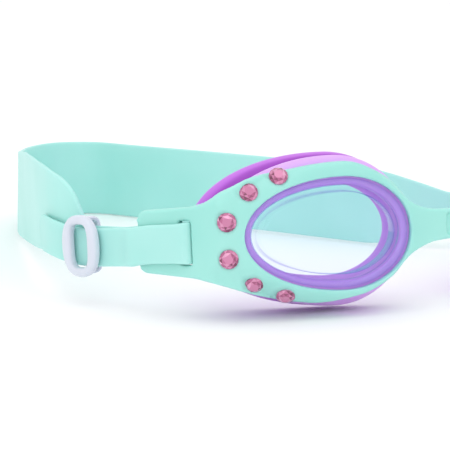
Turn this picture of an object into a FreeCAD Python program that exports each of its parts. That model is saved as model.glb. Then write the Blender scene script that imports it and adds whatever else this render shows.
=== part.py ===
import FreeCAD, Part
import math
import os

import Sketcher
from FreeCAD import Placement, Rotation, Vector

# Children's swim goggles, in millimetres.
#
# The goggles are drawn upright in their own frame: X towards the wearer's left, Y towards the back
# of the head, Z up, with the origin in the middle of the nose bridge at the height of the eyes.
# One rest placement then lays every piece down as the goggles lie on a table: on the lower edges
# of the two gaskets in front and on the lower edge of the head strap behind.

SIZES = {
    # Eyepiece: an egg with its blunt end at the nose, canted up and swept back at the temple.
    "eye_centre_x": 31.0,
    "eye_centre_y": 4.0,
    "eye_wrap": 11.0,
    "eye_cant": 2.4,
    "opening_temple": 26.7,
    "opening_nose": 17.8,
    "opening_half": 14.2,
    # Frame: one moulded band with two rims, a bridge and two slotted temple lugs.
    "band_thickness": 2.0,
    "rim_front": 1.0,
    "shoulder_reach": 16.0,
    "rim_margin": 3.8,
    "rim_lower_margin": 3.3,
    "ring_margin": 3.2,
    "rim_nose_margin": 1.2,
    "rim_depth": 6.4,
    "rim_wall": 0.9,
    "bridge_half": 3.9,
    "bridge_bend": 30.0,
    "shoulder_x": 12.5,
    "shoulder_half": 6.2,
    "recess_half_x": 2.7,
    "recess_half_z": 2.8,
    "recess_depth": 1.1,
    "temple_start": 24.0,
    "temple_bend": 17.3,
    "temple_turn": 54.0,
    "lug_length": 16.0,
    "lug_root_half": 8.9,
    "lug_end_half": 7.5,
    "lug_corner": 2.4,
    "slot_start": -0.4,
    "slot_width": 3.6,
    # Lens: a clear cup with a raised front window and a flange that the gasket grips.
    "window_rise": 1.6,
    "window_inset": 3.8,
    "window_top_inset": 2.6,
    "lens_inset": 2.3,
    "lens_wall": 1.4,
    "lens_depth": 9.0,
    "flange_reach": 1.6,
    "flange_thickness": 1.2,
    # Gasket: a soft ring round the lens that flares into the skirt on the face.
    "ring_thickness": 1.6,
    "skirt_margin": 5.6,
    "skirt_temple_margin": 8.4,
    "skirt_nose_margin": 3.2,
    "skirt_depth": 15.8,
    "skirt_tilt": 9.0,
    "skirt_lip": 1.6,
    "gasket_wall": 2.2,
    "seal_inset": 2.5,
    # Gems: flat-backed cut stones in shallow pockets round the temple half of each rim.
    "gem_radius": 2.4,
    "gem_table": 1.3,
    "gem_girdle": 0.5,
    "gem_crown": 0.9,
    "gem_pocket": 0.5,
    # Head strap: one moulded band, wide behind the head and narrow at its two ends.
    "strap_thickness": 1.2,
    "narrow_width": 9.8,
    "wide_width": 22.0,
    "strap_back": 174.0,
    "back_low": -4.7,
    "rest_length": 15.0,
    "tail_length": 9.0,
    # Slide: an oval ring in front of the two strap layers and a bar behind them, from its back.
    "buckle_height": 16.0,
    "buckle_width": 12.8,
    "buckle_depth": 6.6,
    "channel_front": 4.8,
    "channel_back": 1.3,
    "channel_half": 5.5,
    "bar_half": 1.5,
    "side_reach": 8.0,
    "window_half_x": 3.0,
    "window_half_z": 5.4,
    "buckle_round": 0.5,
    # Doubled runs: where the slides sit, how the two layers lie and which way they head in plan.
    "layer_gap": 0.5,
    "buckle_distance": 18.8,
    "run_before": 13.5,
    "run_after": 14.0,
    "run_drop": 1.5,
    "fold_slack": 1.5,
    "run_heading_right": 105.0,
    "run_heading_left": 133.0,
    # Clearances.
    "gap": 0.3,
    "fit": 0.15,
}

TALL = 80.0
GEM_STATIONS = ((16.7, 15.1), (24.9, 11.7), (31.1, 4.6))
GEM_RAISE = 0.4

os.makedirs("parts", exist_ok=True)
doc = FreeCAD.newDocument("swim_goggles")
sheet = doc.addObject("Spreadsheet::Sheet", "sizes")
for row, (alias, value) in enumerate(SIZES.items(), start=1):
    sheet.set(f"A{row}", alias)
    sheet.set(f"B{row}", str(value))
    sheet.setAlias(f"B{row}", alias)
doc.recompute()


def size(alias):
    """The value of a cell of the sheet."""
    return float(sheet.get(alias))


def add_feature(label, shape, placement):
    """A sub-part whose shape is worked out here from the sheet."""
    feature = doc.addObject("Part::Feature", label)
    feature.Label = label
    feature.Shape = shape
    feature.Placement = placement
    return feature


# ---------------------------------------------------------------- plan geometry

def direction(degrees):
    """A unit vector in plan, turned from +X towards +Y."""
    angle = math.radians(degrees)
    return Vector(math.cos(angle), math.sin(angle), 0)


def left_of(heading):
    """The unit vector square to a heading, on its left."""
    return Vector(-heading.y, heading.x, 0)


def mirrored(point, side):
    """A plan point of the wearer's right side (side -1), or its mirror on the left (side 1)."""
    return Vector(-side * point.x, point.y, point.z)


def parallel(points, distance):
    """The corners of a polyline that runs beside another, to its left."""
    headings = [(b - a).normalize() for a, b in zip(points, points[1:])]
    result = [points[0] + left_of(headings[0]) * distance]
    for corner, before, after in zip(points[1:-1], headings, headings[1:]):
        bisector = (left_of(before) + left_of(after)).normalize()
        result.append(corner + bisector * (distance / bisector.dot(left_of(before))))
    result.append(points[-1] + left_of(headings[-1]) * distance)
    return result


def path_edges(points, radii):
    """Straight runs joined by tangent arcs, one radius for each inner corner."""
    edges = []
    start = points[0]
    for corner, radius, before, after in zip(points[1:-1], radii, points, points[2:]):
        incoming = (corner - before).normalize()
        outgoing = (after - corner).normalize()
        turn = incoming.getAngle(outgoing)
        reach = radius * math.tan(turn / 2)
        arc_start = corner - incoming * reach
        arc_end = corner + outgoing * reach
        inward = (outgoing - incoming).normalize()
        middle = corner + inward * (radius / math.cos(turn / 2) - radius)
        edges.append(Part.LineSegment(start, arc_start).toShape())
        edges.append(Part.Arc(arc_start, middle, arc_end).toShape())
        start = arc_end
    edges.append(Part.LineSegment(start, points[-1]).toShape())
    return edges


def band(points, radii, thickness, low, high):
    """An upright band of even thickness along a plan path, from one height to another."""
    turns = [(b - a).cross(c - b).z for a, b, c in zip(points, points[1:], points[2:])]
    near = parallel(points, thickness / 2)
    far = parallel(points, -thickness / 2)
    near_radii = [r - math.copysign(thickness / 2, turn) for r, turn in zip(radii, turns)]
    far_radii = [r + math.copysign(thickness / 2, turn) for r, turn in zip(radii, turns)]
    edges = path_edges(near, near_radii)
    edges.append(Part.LineSegment(near[-1], far[-1]).toShape())
    edges.extend(reversed(path_edges(far, far_radii)))
    edges.append(Part.LineSegment(far[0], near[0]).toShape())
    face = Part.Face(Part.Wire(edges))
    face.translate(Vector(0, 0, low))
    return face.extrude(Vector(0, 0, high - low))


def fair(start, start_pull, end_pull, end):
    """A smooth cubic edge between two points."""
    curve = Part.BezierCurve()
    curve.setPoles([start, start_pull, end_pull, end])
    return curve.toBSpline().toShape()


# ---------------------------------------------------------------- the eyepiece's egg

def egg(depth, temple, top, nose, tilt=0.0):
    """The opening's outline, grown by a margin at the temple, top and nose, at a depth behind it."""
    reach_temple = size("opening_temple") + temple
    reach_nose = size("opening_nose") + nose
    half = size("opening_half") + top
    edges = []
    for reach, rise in ((-reach_temple, half), (reach_nose, half), (reach_nose, -half), (-reach_temple, -half)):
        quarter = Part.BezierCurve()
        quarter.setPoles([Vector(reach, depth, 0), Vector(reach, depth, rise), Vector(0, depth, rise)])
        quarter.setWeight(2, math.sqrt(0.5))
        edges.append(quarter.toBSpline().toShape())
    wire = Part.Wire(edges)
    wire.rotate(Vector(0, depth, 0), Vector(0, 0, 1), -tilt)
    return wire


def egg_loft(*sections):
    """A solid through eggs, each given as depth, temple, top and nose margins, and tilt."""
    return Part.makeLoft([egg(*section) for section in sections], True, True)


def egg_prism(front, back, temple, top, nose):
    """A straight solid with the egg's outline between two depths."""
    return egg_loft((front, temple, top, nose), (back, temple, top, nose))


def eye_placement(side):
    """Where an eyepiece sits in the goggles: side -1 is the wearer's right, 1 the left."""
    turn = Rotation(Vector(0, 0, 1), side * size("eye_wrap"))
    cant = Rotation(Vector(0, 1, 0), -side * size("eye_cant"))
    return Placement(Vector(side * size("eye_centre_x"), size("eye_centre_y"), 0), turn * cant)


def eye_point(across, behind):
    """The plan place of a point of the right eyepiece: across towards the nose, behind the opening."""
    turn = Rotation(Vector(0, 0, 1), -size("eye_wrap"))
    centre = Vector(-size("eye_centre_x"), size("eye_centre_y"), 0)
    return centre + turn.multVec(Vector(across, behind, 0))


def for_side(shape, side):
    """A shape drawn for the right eyepiece, or its mirror image for the left."""
    return shape if side < 0 else shape.mirror(Vector(0, 0, 0), Vector(1, 0, 0))


def placed(shape, placement):
    """The shape, moved to a placement."""
    shape.Placement = placement
    return shape


# ---------------------------------------------------------------- frame

BAND_MIDDLE = size("band_thickness") / 2 - size("rim_front")
BAND_BACK = size("band_thickness") - size("rim_front")
LUG_HEADING = direction(180 - size("eye_wrap") - size("temple_turn"))
TEMPLE_REACH = size("temple_bend") * math.tan(math.radians(size("temple_turn") / 2))
TEMPLE_CORNER = eye_point(-size("temple_start") - TEMPLE_REACH, BAND_MIDDLE)
LUG_START = TEMPLE_CORNER + LUG_HEADING * TEMPLE_REACH


def lug_point(along, outward):
    """A plan point by the right lug: along it from its root, and outward from its middle."""
    return LUG_START + LUG_HEADING * along + left_of(LUG_HEADING) * outward


def frame_band(thickness):
    """The plan band of the whole frame, from lug end to lug end."""
    shoulder = eye_point(size("shoulder_reach"), BAND_MIDDLE)
    right = [lug_point(size("lug_length"), 0), TEMPLE_CORNER, shoulder]
    left = [mirrored(point, 1) for point in reversed(right)]
    bends = [size("temple_bend"), size("bridge_bend")]
    return band(right + left, bends + bends[::-1], thickness, -TALL, TALL)


def frame_outline():
    """The frame seen from the front, as a block that the plan band is trimmed with."""
    eye_x = size("eye_centre_x")
    rims = {-1: size("opening_half") + size("rim_lower_margin"), 1: size("opening_half") + size("rim_margin")}
    shoulder_x = size("shoulder_x")
    shoulder = size("shoulder_half")
    bridge = size("bridge_half")
    root_x = -LUG_START.x
    root = size("lug_root_half")
    tip_x = -lug_point(size("lug_length"), 0).x + size("band_thickness")
    tip = size("lug_end_half")
    edges = []
    for side in (-1, 1):
        for up, rim in rims.items():
            def at(x, z):
                return Vector(side * x, 0, up * z)
            edges.append(fair(at(0, bridge), at(shoulder_x * 0.4, bridge),
                              at(shoulder_x * 0.7, bridge), at(shoulder_x, shoulder)))
            edges.append(fair(at(shoulder_x, shoulder), at(shoulder_x * 1.36, shoulder * 1.4),
                              at(eye_x * 0.7, rim), at(eye_x, rim)))
            edges.append(fair(at(eye_x, rim), at(eye_x + (root_x - eye_x) * 0.47, rim),
                              at(eye_x + (root_x - eye_x) * 0.73, root + (rim - root) * 0.45), at(root_x, root)))
            edges.append(Part.LineSegment(at(root_x, root), at(tip_x, tip)).toShape())
        edges.append(Part.LineSegment(Vector(side * tip_x, 0, -tip), Vector(side * tip_x, 0, tip)).toShape())
    wire = Part.Wire(Part.sortEdges(edges)[0])
    block = Part.Face(wire)
    block.translate(Vector(0, -TALL, 0))
    return block.extrude(Vector(0, 2 * TALL, 0))


def front_pose(along, height, side):
    """A place on the frame's front face: its point, and a turn that points +Z out of the face."""
    start = size("temple_start")
    radius = size("temple_bend") + size("band_thickness") / 2
    if along <= start:
        point = eye_point(-along, -size("rim_front"))
        turned = 0.0
    else:
        turned = (along - start) / radius
        centre = eye_point(-start, radius - size("rim_front"))
        point = centre + (eye_point(0, -radius) - eye_point(0, 0))
        point = centre + Rotation(Vector(0, 0, 1), -math.degrees(turned)).multVec(point - centre)
    facing = -90 - size("eye_wrap") - math.degrees(turned)
    out = mirrored(direction(facing), side)
    point = mirrored(point + Vector(0, 0, height), side)
    return Placement(point, Rotation(Vector(0, 0, 1), out))


def gem_poses(side):
    """The poses of one eyepiece's gems, from the top of the rim round the temple to its bottom."""
    upper = [front_pose(along, GEM_RAISE + rise, side) for along, rise in GEM_STATIONS]
    lower = [front_pose(along, GEM_RAISE - rise, side) for along, rise in reversed(GEM_STATIONS)]
    return upper + lower


def make_frame():
    """The frame: trimmed band, rims behind it, lens openings, lug slots, recess and gem pockets."""
    shape = frame_band(size("band_thickness")).common(frame_outline())
    lug_ends = []
    for edge in shape.Edges:
        middle = edge.CenterOfMass
        end_x = -lug_point(size("lug_length"), 0).x
        if edge.BoundBox.ZLength < 1 and abs(abs(middle.x) - end_x) < 0.3:
            lug_ends.append(edge)
    shape = shape.makeFillet(size("lug_corner"), lug_ends)
    rim = size("ring_margin")
    nose = size("rim_nose_margin")
    wall = size("rim_wall")
    for side in (-1, 1):
        ring = egg_prism(0, size("rim_depth") - size("rim_front"), rim, rim, nose)
        cavity = egg_prism(BAND_BACK, size("rim_depth"), rim - wall, rim - wall, nose - wall)
        opening = egg_prism(-TALL / 8, BAND_BACK + 1, 0, 0, 0)
        shape = shape.fuse(placed(for_side(ring, side), eye_placement(side)))
        shape = shape.cut(placed(for_side(cavity.fuse(opening), side), eye_placement(side)))
        turn = Rotation(Vector(0, 0, 1), math.degrees(math.atan2(LUG_HEADING.y, LUG_HEADING.x)))
        slot = Part.makeBox(size("slot_width"), TALL / 8, size("narrow_width") + 4 * size("gap"))
        slot.translate(Vector(size("slot_start"), -TALL / 16, -size("narrow_width") / 2 - 2 * size("gap")))
        slot = placed(slot, Placement(LUG_START, turn) * slot.Placement)
        shape = shape.cut(for_side(slot, side))
        for pose in gem_poses(side):
            pocket = Part.makeCylinder(size("gem_radius") + size("fit"), size("gem_pocket") * 4,
                                       Vector(0, 0, -size("gem_pocket")), Vector(0, 0, 1))
            shape = shape.cut(placed(pocket, pose))
    bridge_front = eye_point(size("shoulder_reach"), BAND_MIDDLE).y - size("band_thickness") / 2
    recess = Part.makeBox(2 * size("recess_half_x"), TALL, 2 * size("recess_half_z"),
                          Vector(-size("recess_half_x"), bridge_front + size("recess_depth") - TALL,
                                 -size("recess_half_z")))
    return shape.cut(recess)


# ---------------------------------------------------------------- lens and gasket

RING_FRONT = BAND_BACK + size("gap")
FLANGE_FRONT = RING_FRONT + size("ring_thickness") + 0.2


def make_lens():
    """The clear cup: a raised window, a bevel, a short side wall and the flange behind the ring."""
    inset = -size("lens_inset")
    inner = inset - size("lens_wall")
    bevel = RING_FRONT
    depth = size("lens_depth")
    window = (-size("window_rise"), -size("window_inset"), -size("window_top_inset"), -size("window_inset"))
    outside = egg_loft(window, (bevel, inset, inset, inset))
    outside = outside.fuse(egg_prism(bevel, depth, inset, inset, inset))
    reach = inset + size("flange_reach")
    flange_back = FLANGE_FRONT + size("flange_thickness")
    outside = outside.fuse(egg_prism(FLANGE_FRONT, flange_back, reach, reach, reach))
    wall = size("lens_wall")
    hollow = egg_loft((window[0] + wall, window[1] - wall, window[2] - wall, window[3] - wall),
                      (bevel, inner, inner, inner))
    hollow = hollow.fuse(egg_prism(bevel, depth + 1, inner, inner, inner))
    return outside.cut(hollow).removeSplitter()


def make_gasket():
    """The soft ring and skirt: it grips the lens flange and flares out and in at the face."""
    fit = size("fit")
    rim = size("ring_margin") - size("rim_wall") - fit
    nose = size("rim_nose_margin") - size("rim_wall") - fit
    rim_back = size("rim_depth")
    margin = size("skirt_margin")
    temple = size("skirt_temple_margin")
    nose_margin = size("skirt_nose_margin")
    depth = size("skirt_depth")
    tilt = size("skirt_tilt")
    lip = size("skirt_lip")
    grip = -size("lens_inset") + fit
    groove = grip + size("flange_reach")
    groove_back = FLANGE_FRONT + size("flange_thickness") + fit
    wall = size("gasket_wall")
    seal = -size("seal_inset")
    outside = egg_prism(RING_FRONT, rim_back, rim, rim, nose)
    waist = (rim_back + 1.5, rim, rim, nose, tilt * 0.4)
    outside = outside.fuse(egg_loft((rim_back, rim, rim, nose), waist,
                                    (depth - lip, temple - 1.2, margin - 1.2, nose_margin - 1, tilt),
                                    (depth, temple, margin, nose_margin, tilt)))
    hollow = egg_prism(RING_FRONT - 1, depth / 2, grip, grip, grip)
    hollow = hollow.fuse(egg_prism(FLANGE_FRONT - fit, groove_back, groove, groove, groove))
    inner = rim - wall
    hollow = hollow.fuse(egg_loft((groove_back + 1.2, grip, grip, grip),
                                  (groove_back + 3.4, inner, inner, nose - wall / 2, tilt * 0.4),
                                  (depth - lip, inner + 0.4, inner + 0.4, nose_margin - wall, tilt),
                                  (depth + 0.2, seal, seal, seal, tilt)))
    frame_space = frame_band(size("band_thickness") + 2 * size("gap"))
    ring = outside.cut(hollow).cut(placed(frame_space, eye_placement(-1).inverse()))
    return ring.removeSplitter()


# ---------------------------------------------------------------- lying on a table

GASKET = make_gasket()


def resting_pitch():
    """How far the goggles lean back, with a skirt's lowest edge and the strap's back on the table."""
    skirt = GASKET.copy()
    skirt.Placement = eye_placement(-1)
    lowest = skirt.optimalBoundingBox(False).ZMin
    skirt_y = size("eye_centre_y") + size("skirt_depth")
    back = size("strap_back") + size("strap_thickness")
    return math.atan2(size("back_low") - lowest, back - skirt_y)


PITCH = resting_pitch()


# ---------------------------------------------------------------- head strap

LAYER = (size("strap_thickness") + size("layer_gap")) / 2
RUN_HEADINGS = {-1: direction(size("run_heading_right")), 1: direction(size("run_heading_left"))}

# The relaxed loop behind the head, in plan, from the right doubled run to the left one.
RIGHT_ROUTE = ((-77.5, 81.0), (-68.5, 106.0), (-60.0, 129.0), (-50.5, 152.0), (-40.0, 168.0))
LEFT_ROUTE = ((-15.0, 168.0), (-8.0, 153.0), (2.0, 134.0), (12.0, 113.0), (20.5, 97.0), (30.0, 79.0))

# Heights of the strap's two edges against the distance back, from the lug to the back of the head.
RUN_DROP = size("run_drop")
RUN_LOWER = ((29.0, 0.0), (37.0, -RUN_DROP))
RIGHT_LOWER = RUN_LOWER + ((58.0, -RUN_DROP), (75.0, -1.2), (115.0, -2.4))
RIGHT_TAPER = ((58.2, 0.0), (60.4, 5.0), (64.5, 9.4), (75.0, 11.9), (92.0, 12.2))
LEFT_LOWER = RUN_LOWER + ((54.0, -RUN_DROP), (60.0, -2.5), (70.0, -5.4), (81.0, -8.5), (113.0, -5.2))
LEFT_TAPER = ((60.0, 0.2), (70.0, 5.8), (81.0, 11.6), (92.0, 12.2))


def run_point(side, along, outward):
    """A plan point by a doubled run: from the buckle's middle away from the lug, and outward."""
    heading = RUN_HEADINGS[side]
    start = mirrored(lug_point(size("lug_length"), 0), side)
    middle = start + heading * size("buckle_distance")
    return middle + heading * along - left_of(heading) * (side * outward)


def easy_radii(points):
    """The largest bend that each corner's two runs leave room for."""
    radii = []
    for before, corner, after in zip(points, points[1:], points[2:]):
        incoming = corner - before
        outgoing = after - corner
        shorter = min(incoming.Length, outgoing.Length)
        radii.append(0.45 * shorter / math.tan(max(incoming.getAngle(outgoing), 0.01) / 2))
    return radii


def edge_profile(lower, taper, low_x, high_x):
    """The strap seen from the side, as a block between two X values that a plan band is cut with."""
    half = size("narrow_width") / 2
    back = size("strap_back") + size("strap_thickness")
    grown = (size("wide_width") - size("narrow_width")) / taper[-1][1]
    resting = size("rest_length")
    bottom = [Vector(low_x, 0, -half)] + [Vector(low_x, y, z - half) for y, z in lower]
    bottom.append(Vector(low_x, back - resting, size("back_low") - resting * math.tan(PITCH)))
    bottom.append(Vector(low_x, back, size("back_low")))

    def low_at(y):
        for a, b in zip(bottom, bottom[1:]):
            if a.y <= y <= b.y:
                return a.z + (b.z - a.z) * (y - a.y) / (b.y - a.y)
        return bottom[-1].z

    top = [Vector(low_x, 0, half)]
    level = [(y, 0.0) for y, _ in lower if y < taper[0][0]]
    top += [Vector(low_x, y, low_at(y) + 2 * half + rise * grown) for y, rise in level + list(taper)]
    top.append(Vector(low_x, back, size("back_low") + size("wide_width")))
    wire = Part.makePolygon(bottom + top[::-1] + [bottom[0]])
    return Part.Face(wire).extrude(Vector(high_x - low_x, 0, 0))


def narrow_profile(lower, low_x, high_x):
    """The same for the narrow end, which keeps its width to the end of its tail."""
    half = size("narrow_width") / 2
    centre = [(0, 0), *lower[:3]]
    centre.append((TALL * 2, centre[-1][1]))
    bottom = [Vector(low_x, y, z - half) for y, z in centre]
    top = [Vector(low_x, y, z + half) for y, z in centre]
    wire = Part.makePolygon(bottom + top[::-1] + [bottom[0]])
    return Part.Face(wire).extrude(Vector(high_x - low_x, 0, 0))


def make_strap():
    """The head strap, lying as a relaxed loop, with both ends doubled back through lugs and slides."""
    thickness = size("strap_thickness")
    reach = size("band_thickness") / 2 + size("gap") + thickness / 2
    bar = size("slot_start") + size("slot_width") + size("gap")
    lug_end = size("lug_length")
    lug_headings = {-1: LUG_HEADING, 1: mirrored(LUG_HEADING, 1)}
    apex = Vector(-27.0, size("strap_back"), 0)
    routes = {-1: [Vector(x, y, 0) for x, y in RIGHT_ROUTE],
              1: [Vector(x, y, 0) for x, y in reversed(LEFT_ROUTE)]}
    profiles = {-1: RIGHT_LOWER, 1: LEFT_LOWER}
    ends = {}
    tails = []
    for side in (-1, 1):
        after = run_point(side, size("run_after"), -LAYER)
        onward = (routes[side][0] - after).normalize()
        turn = lug_headings[side].getAngle(RUN_HEADINGS[side])
        fold = lug_end + size("fold_slack") + reach * math.tan(turn / 2)
        ends[side] = [mirrored(lug_point(bar + 3, -reach), side),
                      mirrored(lug_point(lug_end + size("gap"), -reach), side),
                      run_point(side, -size("run_before"), -LAYER), after]
        loop = [mirrored(lug_point(bar + 5, -reach), side), mirrored(lug_point(bar - reach, -reach), side),
                mirrored(lug_point(bar - reach, reach), side), mirrored(lug_point(fold, reach), side),
                run_point(side, -size("run_before"), LAYER), run_point(side, size("run_after"), LAYER)]
        tail_way = after + onward * size("tail_length") - left_of(onward) * (side * 2 * LAYER)
        loop.append(tail_way)
        tail = band(loop, easy_radii(loop), thickness, -TALL, TALL)
        limits = sorted((apex.x, side * 3 * TALL))
        tails.append(tail.common(narrow_profile(profiles[side], *limits)))
    way = ends[-1] + routes[-1] + [apex] + routes[1][::-1] + ends[1][::-1]
    loop = band(way, easy_radii(way), thickness, -TALL, TALL)
    right = loop.common(edge_profile(RIGHT_LOWER, RIGHT_TAPER, -3 * TALL, apex.x))
    left = loop.common(edge_profile(LEFT_LOWER, LEFT_TAPER, apex.x, 3 * TALL))
    return right.fuse([left] + tails).removeSplitter()


# ---------------------------------------------------------------- slide buckle

def bind(sketch, constraint, name, expression):
    """Add a named constraint to a sketch and tie it to the sheet."""
    index = sketch.addConstraint(constraint)
    sketch.renameConstraint(index, name)
    sketch.setExpression("Constraints." + name, expression)


def add_rectangle(sketch, name, left, right, bottom, top):
    """A rectangle whose sides stand off the origin, each given as a sign and a cell of the sheet."""
    x = [sign * size(alias) for sign, alias in (left, right)]
    y = [sign * size(alias) for sign, alias in (bottom, top)]
    corners = [Vector(x[0], y[0], 0), Vector(x[1], y[0], 0), Vector(x[1], y[1], 0), Vector(x[0], y[1], 0)]
    first = sketch.GeometryCount
    for start, end in zip(corners, corners[1:] + corners[:1]):
        sketch.addGeometry(Part.LineSegment(start, end), False)
    for index in range(4):
        sketch.addConstraint(Sketcher.Constraint("Coincident", first + index, 2, first + (index + 1) % 4, 1))
        kind = "Vertical" if index % 2 else "Horizontal"
        sketch.addConstraint(Sketcher.Constraint(kind, first + index))
    sides = (("left", "DistanceX", left, first), ("right", "DistanceX", right, first + 2),
             ("bottom", "DistanceY", bottom, first), ("top", "DistanceY", top, first + 2))
    for edge_name, kind, (sign, alias), corner in sides:
        if sign < 0:
            constraint = Sketcher.Constraint(kind, corner, 1, -1, 1, size(alias))
        else:
            constraint = Sketcher.Constraint(kind, -1, 1, corner, 1, size(alias))
        bind(sketch, constraint, f"{name}_{edge_name}", f"sizes.{alias}")


def add_stadium(sketch):
    """The slide's outline: two half circles joined by straight sides."""
    radius = size("buckle_width") / 2
    rise = (size("buckle_height") - size("buckle_width")) / 2
    up = Vector(0, 0, 1)
    sketch.addGeometry(Part.ArcOfCircle(Part.Circle(Vector(0, rise, 0), up, radius), 0, math.pi), False)
    sketch.addGeometry(Part.LineSegment(Vector(-radius, rise, 0), Vector(-radius, -rise, 0)), False)
    lower = Part.Circle(Vector(0, -rise, 0), up, radius)
    sketch.addGeometry(Part.ArcOfCircle(lower, math.pi, 2 * math.pi), False)
    sketch.addGeometry(Part.LineSegment(Vector(radius, -rise, 0), Vector(radius, rise, 0)), False)
    for index in range(4):
        sketch.addConstraint(Sketcher.Constraint("Tangent", index, 2, (index + 1) % 4, 1))
    sketch.addConstraint(Sketcher.Constraint("Vertical", 1))
    sketch.addConstraint(Sketcher.Constraint("Symmetric", 0, 3, 2, 3, -1, 1))
    bind(sketch, Sketcher.Constraint("Radius", 0, radius), "end_radius", "sizes.buckle_width / 2")
    bind(sketch, Sketcher.Constraint("DistanceY", 2, 3, 0, 3, 2 * rise), "centres_apart",
         "sizes.buckle_height - sizes.buckle_width")


def add_sketch(body, role, label):
    """A sketch on one of the body's own origin planes."""
    plane = next(item for item in body.Origin.OriginFeatures if item.Role == role)
    sketch = body.newObject("Sketcher::SketchObject", f"{body.Name}_{label}")
    sketch.AttachmentSupport = [(plane, "")]
    sketch.MapMode = "FlatFace"
    return sketch


def make_buckle(label):
    """A slide, drawn from its back: X along the strap, -Y out of its front, Z up."""
    body = doc.addObject("PartDesign::Body", label)
    body.Label = label
    outline = add_sketch(body, "XZ_Plane", "outline")
    add_stadium(outline)
    doc.recompute()
    block = body.newObject("PartDesign::Pad", f"{label}_block")
    block.Profile = outline
    block.setExpression("Length", "sizes.buckle_depth")
    doc.recompute()
    channel = add_sketch(body, "YZ_Plane", "channel")
    add_rectangle(channel, "channel", (-1, "channel_front"), (-1, "channel_back"),
                  (-1, "channel_half"), (1, "channel_half"))
    doc.recompute()
    passage = body.newObject("PartDesign::Pocket", f"{label}_passage")
    passage.Profile = channel
    passage.Type = 1
    passage.Midplane = True
    doc.recompute()
    sides = add_sketch(body, "XZ_Plane", "sides")
    add_rectangle(sides, "near", (-1, "side_reach"), (-1, "bar_half"), (-1, "channel_half"), (1, "channel_half"))
    add_rectangle(sides, "far", (1, "bar_half"), (1, "side_reach"), (-1, "channel_half"), (1, "channel_half"))
    doc.recompute()
    relief = body.newObject("PartDesign::Pocket", f"{label}_relief")
    relief.Profile = sides
    relief.Reversed = True
    relief.setExpression("Length", "sizes.channel_front")
    doc.recompute()
    window = add_sketch(body, "XZ_Plane", "window")
    window.setExpression("AttachmentOffset.Base.z", "sizes.channel_front")
    add_rectangle(window, "window", (-1, "window_half_x"), (1, "window_half_x"),
                  (-1, "window_half_z"), (1, "window_half_z"))
    doc.recompute()
    view = body.newObject("PartDesign::Pocket", f"{label}_view")
    view.Profile = window
    view.Reversed = True
    view.Type = 1
    doc.recompute()
    front = -size("buckle_depth")
    names = [f"Edge{number}" for number, edge in enumerate(view.Shape.Edges, start=1)
             if abs(edge.BoundBox.YMin - front) < 1e-4 and abs(edge.BoundBox.YMax - front) < 1e-4]
    rounding = body.newObject("PartDesign::Fillet", f"{label}_rounding")
    rounding.Base = (view, names)
    rounding.setExpression("Radius", "sizes.buckle_round")
    body.Tip = rounding
    doc.recompute()
    return body


# ---------------------------------------------------------------- gems

def make_gem(label):
    """A cut stone: a short girdle under a faceted crown with a flat table."""
    girdle = doc.addObject("Part::Cylinder", f"{label}_girdle")
    girdle.setExpression("Radius", "sizes.gem_radius")
    girdle.setExpression("Height", "sizes.gem_girdle")
    crown = doc.addObject("Part::Cone", f"{label}_crown")
    crown.setExpression("Radius1", "sizes.gem_radius")
    crown.setExpression("Radius2", "sizes.gem_table")
    crown.setExpression("Height", "sizes.gem_crown")
    crown.setExpression("Placement.Base.z", "sizes.gem_girdle")
    gem = doc.addObject("Part::Fuse", label)
    gem.Label = label
    gem.Base = girdle
    gem.Tool = crown
    return gem


# ---------------------------------------------------------------- assembly

SIDES = {-1: "right", 1: "left"}

lens = make_lens()
strap = make_strap()
leaning = Placement(Vector(0, 0, 0), Rotation(Vector(1, 0, 0), -math.degrees(PITCH)))

pieces = [add_feature("frame", make_frame(), Placement()), add_feature("head_strap", strap, Placement())]
for side, name in SIDES.items():
    pieces.append(add_feature(f"lens_{name}", for_side(lens, side), eye_placement(side)))
    pieces.append(add_feature(f"gasket_{name}", for_side(GASKET, side), eye_placement(side)))
    buckle = make_buckle(f"buckle_{name}")
    layers_middle = (size("channel_front") + size("channel_back")) / 2
    heading = RUN_HEADINGS[side] * side
    turn = Rotation(Vector(0, 0, 1), math.degrees(math.atan2(heading.y, heading.x)))
    buckle.Placement = Placement(run_point(side, 0, -layers_middle) - Vector(0, 0, RUN_DROP), turn)
    pieces.append(buckle)
    for number, pose in enumerate(gem_poses(side), start=1):
        gem = make_gem(f"gem_{name}_{number}")
        gem.Placement = pose * Placement(Vector(0, 0, -size("gem_pocket")), Rotation())
        pieces.append(gem)
for piece in pieces:
    piece.Placement = leaning * piece.Placement
doc.recompute()
whole = FreeCAD.BoundBox()
for piece in pieces:
    whole.add(piece.Shape.optimalBoundingBox(False))
move = Vector(-whole.Center.x, -whole.Center.y, -whole.ZMin)
for piece in pieces:
    piece.Placement = Placement(move, Rotation()) * piece.Placement
doc.recompute()

for item in doc.Objects:
    if "Invalid" in item.State or "Error" in item.State:
        raise RuntimeError(f"{item.Label} did not recompute: {item.State}")
for piece in pieces:
    if piece.Shape.isNull() or not piece.Shape.isValid():
        raise RuntimeError(f"{piece.Label} has no valid shape")
    piece.Shape.exportStep(os.path.join("parts", f"{piece.Label}.step"))
    print(f"{piece.Label}: {piece.Shape.Volume:.1f} mm3, {len(piece.Shape.Solids)} solid(s)")
print(f"pitch {math.degrees(PITCH):.4f} moved by {move} size {whole.XLength:.2f} {whole.YLength:.2f} "
      f"{whole.ZLength:.2f}")
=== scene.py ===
# %% [markdown]
# # Swim goggles
#
# Children's swim goggles lying on a table: a mint silicone frame with two clear lens cups, purple
# gaskets behind them, pink stones round the temples, and a head strap doubled back through two slides.
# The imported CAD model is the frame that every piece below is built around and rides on.

# %% setup
import math
import bmesh
import bpy
import numpy as np
from mathutils import Matrix, Vector


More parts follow.
